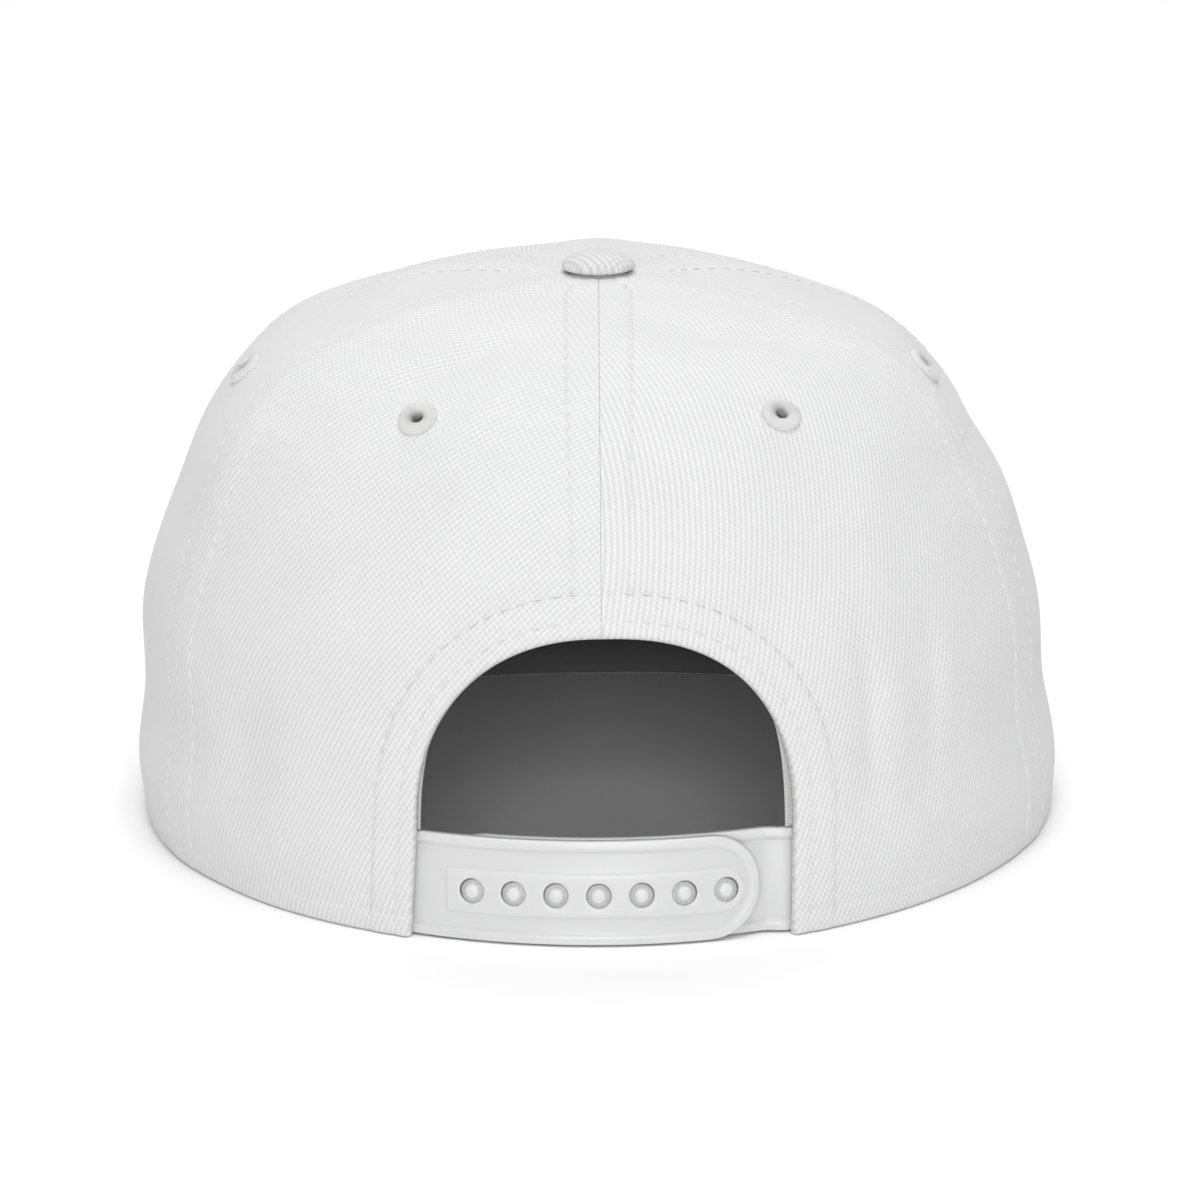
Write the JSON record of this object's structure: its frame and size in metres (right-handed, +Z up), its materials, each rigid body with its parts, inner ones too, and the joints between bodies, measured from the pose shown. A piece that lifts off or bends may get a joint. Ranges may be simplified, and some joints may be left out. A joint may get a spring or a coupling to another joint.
{
  "type": "snapback cap",
  "caption": "Structured fabric cap with a round crown, a flat brim and an arched rear opening closed by an overlapping plastic snap strap.",
  "frame": {"origin": "middle of the cap's footprint, on the surface that it rests on", "axes": "+Z up, -Y towards the tip of the brim, +Y towards the rear opening, +X towards the wearer's left"},
  "size_m": [0.1862, 0.2602, 0.1139],
  "materials": {
    "crown_twill": "matte wool-blend twill",
    "brim_twill": "matte twill over a board",
    "button_twill": "matte twill over a metal cap",
    "eyelet_thread": "satin embroidery thread",
    "sweatband_cotton": "matte brushed cotton",
    "opening_tape": "matte ribbed tape",
    "strap_plastic": "slightly translucent moulded plastic"
  },
  "bodies": {
    "root": {"panel_back_left": "crown_twill", "panel_back_right": "crown_twill", "panel_side_left": "crown_twill", "panel_side_right": "crown_twill", "panel_front_left": "crown_twill", "panel_front_right": "crown_twill", "top_button": "button_twill", "eyelet_back_left": "eyelet_thread", "eyelet_back_right": "eyelet_thread", "eyelet_side_left": "eyelet_thread", "eyelet_side_right": "eyelet_thread", "eyelet_front_left": "eyelet_thread", "eyelet_front_right": "eyelet_thread", "brim": "brim_twill", "sweatband": "sweatband_cotton", "back_opening_tape": "opening_tape", "snap_strap_holes": "strap_plastic", "snap_strap_pegs": "strap_plastic"}
  },
  "joints": []
}
